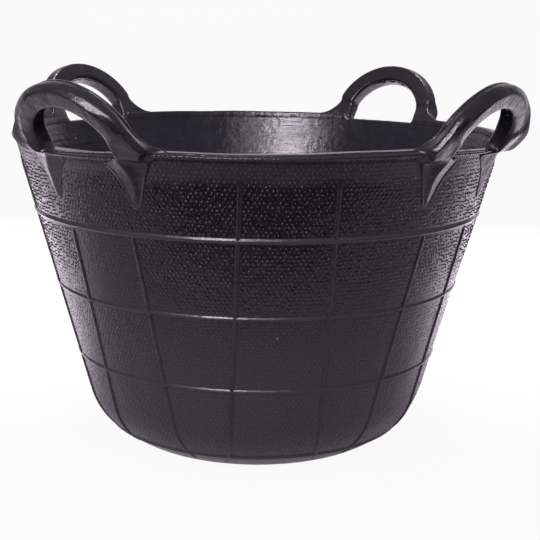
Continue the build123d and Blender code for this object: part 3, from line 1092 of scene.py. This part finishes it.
# The roll of paper: half its width, its front edge, where it sweeps up, the sweep's radius, and its top
PAPER_HALF = 2.3
PAPER_FRONT = -0.42
SWEEP_START = 1.5
SWEEP_RADIUS = 0.6
SWEEP_POINTS = 13
PAPER_TOP = 2.4
FLOOR_FACES = 4


def paper(name, mirrored):
    """Paper that the camera sees as white, and gloss in part, and that still takes the bucket's shadow."""
    shader = Shader(name)
    shader.surface.inputs["Base Color"].default_value = PAPER_GREY
    shader.surface.inputs["Roughness"].default_value = PAPER_ROUGH
    shader.surface.inputs["Specular IOR Level"].default_value = PAPER_GLOSS
    seen = shader.add("LightPath", {}, "Is Camera Ray")
    tint = shader.mix(seen, MIRRORED_WHITE, WHITE)
    gloss = shader.math("MULTIPLY", shader.add("LightPath", {}, "Is Glossy Ray"), mirrored)
    share = shader.math("MULTIPLY", shader.math("MAXIMUM", seen, gloss), WHITE_SHARE)
    white = shader.add("Emission", {"Color": tint, "Strength": 1.0})
    surface = shader.add("MixShader", {0: share, 1: shader.surface.outputs[0], 2: white})
    shader.put(shader.tree.nodes["Material Output"].inputs["Surface"], surface)
    return shader.material


def sheet():
    """Roll of paper under the bucket, cut off in front and swept up behind."""
    profile = [(PAPER_FRONT, 0.0)]
    for turn in np.linspace(0, pi / 2, SWEEP_POINTS):
        profile.append((SWEEP_START + SWEEP_RADIUS * sin(turn), SWEEP_RADIUS - SWEEP_RADIUS * cos(turn)))
    profile.append((SWEEP_START + SWEEP_RADIUS, PAPER_TOP))
    vertices = [(side * PAPER_HALF, back, level) for back, level in profile for side in (-1, 1)]
    faces = [(2 * n, 2 * n + 1, 2 * n + 3, 2 * n + 2) for n in range(len(profile) - 1)]
    mesh = bpy.data.meshes.new("paper_floor")
    mesh.from_pydata(vertices, [], faces)
    mesh.shade_smooth()
    mesh.materials.append(paper("white_floor", FLOOR_MIRRORED))
    mesh.materials.append(paper("white_backdrop", BACKDROP_MIRRORED))
    for face in list(mesh.polygons)[FLOOR_FACES:]:
        face.material_index = 1
    floor = bpy.data.objects.new("paper_floor", mesh)
    floor.matrix_world = to_view
    bpy.context.scene.collection.objects.link(floor)


sheet()

# Lamps: the soft boxes' height, colour and aim, and the pools of light on the paper beside the bucket
SOFT_BOX_HEIGHT = 0.6
SOFT_BOX_COLOUR = (1.0, 0.95, 1.0)
SOFT_BOX_AIM = (0, 0, 0.22)
POOL_ANGLE = radians(32)
POOL_BLEND = 1.0
POOL_SOFT = 0.15
POOL_COLOUR = (1.0, 0.9, 1.0)
POOL_BACK, POOL_UP = 0.6, 2.4


def aim(lamp, place, target):
    """Puts a lamp at a place and turns it to a target, both as seen from the camera's side."""
    holder = bpy.data.objects.new(lamp.name, lamp)
    turn = (Vector(place) - Vector(target)).to_track_quat("Z", "Y").to_matrix().to_4x4()
    holder.matrix_world = to_view @ Matrix.Translation(place) @ turn
    bpy.context.scene.collection.objects.link(holder)


def soft_box(name, width, energy, place):
    """Soft box turned to the bucket."""
    lamp = bpy.data.lights.new(name, "AREA")
    lamp.shape = "RECTANGLE"
    lamp.size = width
    lamp.size_y = SOFT_BOX_HEIGHT
    lamp.energy = energy
    lamp.color = SOFT_BOX_COLOUR
    aim(lamp, place, SOFT_BOX_AIM)


def paper_light(name, aside_by, energy):
    """Pool of light on the paper beside the bucket, further back than it stands."""
    lamp = bpy.data.lights.new(name, "SPOT")
    lamp.spot_size = POOL_ANGLE
    lamp.spot_blend = POOL_BLEND
    lamp.shadow_soft_size = POOL_SOFT
    lamp.energy = energy
    lamp.color = POOL_COLOUR
    aim(lamp, (aside_by, POOL_BACK, POOL_UP), (aside_by, POOL_BACK + MM, 0))


# A strong soft box beside the camera, a weak one on its other side, and one well to the left
soft_box("key", 0.7, 26.4, (-0.575, -1.67, 1.16))
soft_box("fill", 0.62, 3.6, (0.1, -1.72, 1.16))
soft_box("side", 0.7, 2.6, (-1.015, -1.45, 1.16))
paper_light("paper_left", -0.5, 1370.0)
paper_light("paper_right", 0.5, 1160.0)

# Studio round the paper: where its dark and bright parts end, from straight down to straight up, and colours
STUDIO_DARK = (0.48, (0.05, 0.044, 0.058, 1))
STUDIO_BRIGHT = (0.58, (0.35, 0.32, 0.42, 1))


def surroundings():
    """Studio, bluish above and dark below the paper, and white where the camera looks past the paper."""
    world = bpy.data.worlds.new("studio")
    world.use_nodes = True
    tree = world.node_tree
    place = tree.nodes.new("ShaderNodeTexCoord").outputs["Generated"]
    split = tree.nodes.new("ShaderNodeSeparateXYZ")
    spread = tree.nodes.new("ShaderNodeMapRange")
    spread.inputs[1].default_value = -1.0
    spread.inputs[2].default_value = 1.0
    blend = tree.nodes.new("ShaderNodeValToRGB")
    for element, (position, colour) in zip(blend.color_ramp.elements, (STUDIO_DARK, STUDIO_BRIGHT)):
        element.position = position
        element.color = colour
    studio = tree.nodes["Background"]
    white = tree.nodes.new("ShaderNodeBackground")
    white.inputs["Color"].default_value = WHITE
    seen = tree.nodes.new("ShaderNodeLightPath").outputs["Is Camera Ray"]
    mixed = tree.nodes.new("ShaderNodeMixShader")
    tree.links.new(place, split.inputs[0])
    tree.links.new(split.outputs["Z"], spread.inputs[0])
    tree.links.new(spread.outputs[0], blend.inputs[0])
    tree.links.new(blend.outputs[0], studio.inputs["Color"])
    tree.links.new(seen, mixed.inputs[0])
    tree.links.new(studio.outputs[0], mixed.inputs[1])
    tree.links.new(white.outputs[0], mixed.inputs[2])
    tree.links.new(mixed.outputs[0], tree.nodes["World Output"].inputs["Surface"])
    bpy.context.scene.world = world


surroundings()
bpy.context.scene.view_settings.view_transform = "Standard"

bpy.context.view_layer.update()
